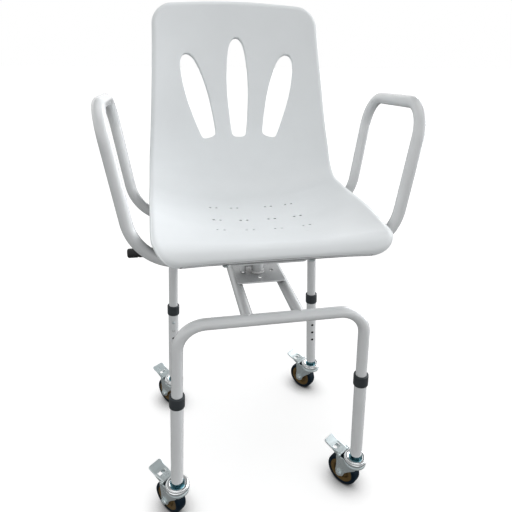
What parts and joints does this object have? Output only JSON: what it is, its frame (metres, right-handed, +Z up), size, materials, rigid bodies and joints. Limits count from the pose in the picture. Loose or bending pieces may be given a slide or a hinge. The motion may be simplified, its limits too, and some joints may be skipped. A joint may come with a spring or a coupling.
{
  "type": "swivelling shower chair",
  "caption": "Wheeled shower chair: a moulded bucket seat with arm loops that swivels and locks above a tubular frame with telescopic legs and braked casters.",
  "frame": {"origin": "on the floor, under the centre of the whole chair", "axes": "+Z up, the chair faces -Y, +X to the sitter's left"},
  "size_m": [0.587, 0.5241, 1.0313],
  "materials": {
    "white_paint": "gloss powder coat",
    "seat_plastic": "satin, fine grain",
    "charcoal_plastic": "satin",
    "zinc": "bright zinc plate",
    "chrome": "bright",
    "black_grip": "satin",
    "tread": "smooth",
    "core_plastic": "satin",
    "nylon": "plain"
  },
  "bodies": {
    "base_frame": {"front_arch": "white_paint", "rear_arch": "white_paint", "left_rail": "white_paint", "right_rail": "white_paint", "base_plate": "white_paint", "pivot_post": "zinc", "thrust_washer": "nylon", "pivot_bolt": "zinc"},
    "seat_unit": {"swivel_hub": "white_paint", "swivel_plate": "white_paint", "lever_pin": "zinc", "front_cross_tube": "white_paint", "rear_cross_tube": "white_paint", "left_arm": "white_paint", "right_arm": "white_paint", "arm_bolts": "zinc", "seat_screws": "zinc", "seat_shell": "seat_plastic"},
    "lever": {"lock_lever": "white_paint", "lever_grip": "black_grip"},
    "plunger": {"lock_pin": "zinc"},
    "fl_leg": {"fl_leg_tube": "white_paint", "fl_collar": "charcoal_plastic", "fl_caster_head": "chrome"},
    "fl_button_body": {"fl_button": "zinc"},
    "fl_fork": {"fl_caster_fork": "zinc", "fl_axle": "zinc"},
    "fl_wheel": {"fl_wheel_core": "core_plastic", "fl_tyre": "tread"},
    "fl_pedal": {"fl_brake_pedal": "zinc"},
    "fr_leg": {"fr_leg_tube": "white_paint", "fr_collar": "charcoal_plastic", "fr_caster_head": "chrome"},
    "fr_button_body": {"fr_button": "zinc"},
    "fr_fork": {"fr_caster_fork": "zinc", "fr_axle": "zinc"},
    "fr_wheel": {"fr_wheel_core": "core_plastic", "fr_tyre": "tread"},
    "fr_pedal": {"fr_brake_pedal": "zinc"},
    "rl_leg": {"rl_leg_tube": "white_paint", "rl_collar": "charcoal_plastic", "rl_caster_head": "chrome"},
    "rl_button_body": {"rl_button": "zinc"},
    "rl_fork": {"rl_caster_fork": "zinc", "rl_axle": "zinc"},
    "rl_wheel": {"rl_wheel_core": "core_plastic", "rl_tyre": "tread"},
    "rl_pedal": {"rl_brake_pedal": "zinc"},
    "rr_leg": {"rr_leg_tube": "white_paint", "rr_collar": "charcoal_plastic", "rr_caster_head": "chrome"},
    "rr_button_body": {"rr_button": "zinc"},
    "rr_fork": {"rr_caster_fork": "zinc", "rr_axle": "zinc"},
    "rr_wheel": {"rr_wheel_core": "core_plastic", "rr_tyre": "tread"},
    "rr_pedal": {"rr_brake_pedal": "zinc"}
  },
  "joints": [
    {"name": "seat_swivel", "type": "hinge", "parent": "base_frame", "child": "seat_unit", "pos_m": [0, -0.05875, 0.525], "axis": [0, 0, 1], "continuous": true},
    {"name": "lever_lift", "type": "hinge", "parent": "seat_unit", "child": "lever", "pos_m": [-0.062, -0.05875, 0.552], "axis": [0, 1, 0], "range_deg": [0, 11]},
    {"name": "plunger_drop", "type": "slide", "parent": "seat_unit", "child": "plunger", "axis": [0, 0, -1], "range_m": [0, 0.006]},
    {"name": "front_left_leg_length", "type": "slide", "parent": "base_frame", "child": "fl_leg", "axis": [0.0579, 0, 0.9983], "range_m": [0, 0.0961], "deforming": ["fl_button"]},
    {"name": "front_left_button_press", "type": "slide", "parent": "base_frame", "child": "fl_button_body", "axis": [0, -1, 0], "range_m": [0, 0.0034], "stiffness_N_per_m": 900},
    {"name": "front_left_caster_swivel", "type": "hinge", "parent": "fl_leg", "child": "fl_fork", "pos_m": [-0.19845, -0.23075, 0.09], "axis": [0, 0, 1], "continuous": true},
    {"name": "front_left_wheel_spin", "type": "hinge", "parent": "fl_fork", "child": "fl_wheel", "pos_m": [-0.21516, -0.21083, 0.0375], "axis": [-0.766, -0.6428, 0], "continuous": true},
    {"name": "front_left_brake", "type": "hinge", "parent": "fl_fork", "child": "fl_pedal", "pos_m": [-0.21966, -0.20547, 0.0824], "axis": [-0.766, -0.6428, 0], "range_deg": [0, 15]},
    {"name": "front_right_leg_length", "type": "slide", "parent": "base_frame", "child": "fr_leg", "axis": [-0.0579, 0, 0.9983], "range_m": [0, 0.0961], "deforming": ["fr_button"]},
    {"name": "front_right_button_press", "type": "slide", "parent": "base_frame", "child": "fr_button_body", "axis": [0, -1, 0], "range_m": [0, 0.0034], "stiffness_N_per_m": 900},
    {"name": "front_right_caster_swivel", "type": "hinge", "parent": "fr_leg", "child": "fr_fork", "pos_m": [0.19845, -0.23075, 0.09], "axis": [0, 0, 1], "continuous": true},
    {"name": "front_right_wheel_spin", "type": "hinge", "parent": "fr_fork", "child": "fr_wheel", "pos_m": [0.18391, -0.20919, 0.0375], "axis": [-0.829, -0.5592, 0], "continuous": true},
    {"name": "front_right_brake", "type": "hinge", "parent": "fr_fork", "child": "fr_pedal", "pos_m": [0.18, -0.20339, 0.0824], "axis": [-0.829, -0.5592, 0], "range_deg": [0, 15]},
    {"name": "rear_left_leg_length", "type": "slide", "parent": "base_frame", "child": "rl_leg", "axis": [0.0579, 0, 0.9983], "range_m": [0, 0.0961], "deforming": ["rl_button"]},
    {"name": "rear_left_button_press", "type": "slide", "parent": "base_frame", "child": "rl_button_body", "axis": [0, 1, 0], "range_m": [0, 0.0034], "stiffness_N_per_m": 900},
    {"name": "rear_left_caster_swivel", "type": "hinge", "parent": "rl_leg", "child": "rl_fork", "pos_m": [-0.19845, 0.11325, 0.09], "axis": [0, 0, 1], "continuous": true},
    {"name": "rear_left_wheel_spin", "type": "hinge", "parent": "rl_fork", "child": "rl_wheel", "pos_m": [-0.2141, 0.13401, 0.0375], "axis": [-0.7986, -0.6018, 0], "continuous": true},
    {"name": "rear_left_brake", "type": "hinge", "parent": "rl_fork", "child": "rl_pedal", "pos_m": [-0.21831, 0.13961, 0.0824], "axis": [-0.7986, -0.6018, 0], "range_deg": [0, 15]},
    {"name": "rear_right_leg_length", "type": "slide", "parent": "base_frame", "child": "rr_leg", "axis": [-0.0579, 0, 0.9983], "range_m": [0, 0.0961], "deforming": ["rr_button"]},
    {"name": "rear_right_button_press", "type": "slide", "parent": "base_frame", "child": "rr_button_body", "axis": [0, 1, 0], "range_m": [0, 0.0034], "stiffness_N_per_m": 900},
    {"name": "rear_right_caster_swivel", "type": "hinge", "parent": "rr_leg", "child": "rr_fork", "pos_m": [0.19845, 0.11325, 0.09], "axis": [0, 0, 1], "continuous": true},
    {"name": "rear_right_wheel_spin", "type": "hinge", "parent": "rr_fork", "child": "rr_wheel", "pos_m": [0.1828, 0.13401, 0.0375], "axis": [-0.7986, -0.6018, 0], "continuous": true},
    {"name": "rear_right_brake", "type": "hinge", "parent": "rr_fork", "child": "rr_pedal", "pos_m": [0.17859, 0.13961, 0.0824], "axis": [-0.7986, -0.6018, 0], "range_deg": [0, 15]}
  ],
  "couplings": [
    {"joint": "plunger_drop", "follows": "lever_lift", "m_per_rad": 0.031}
  ]
}
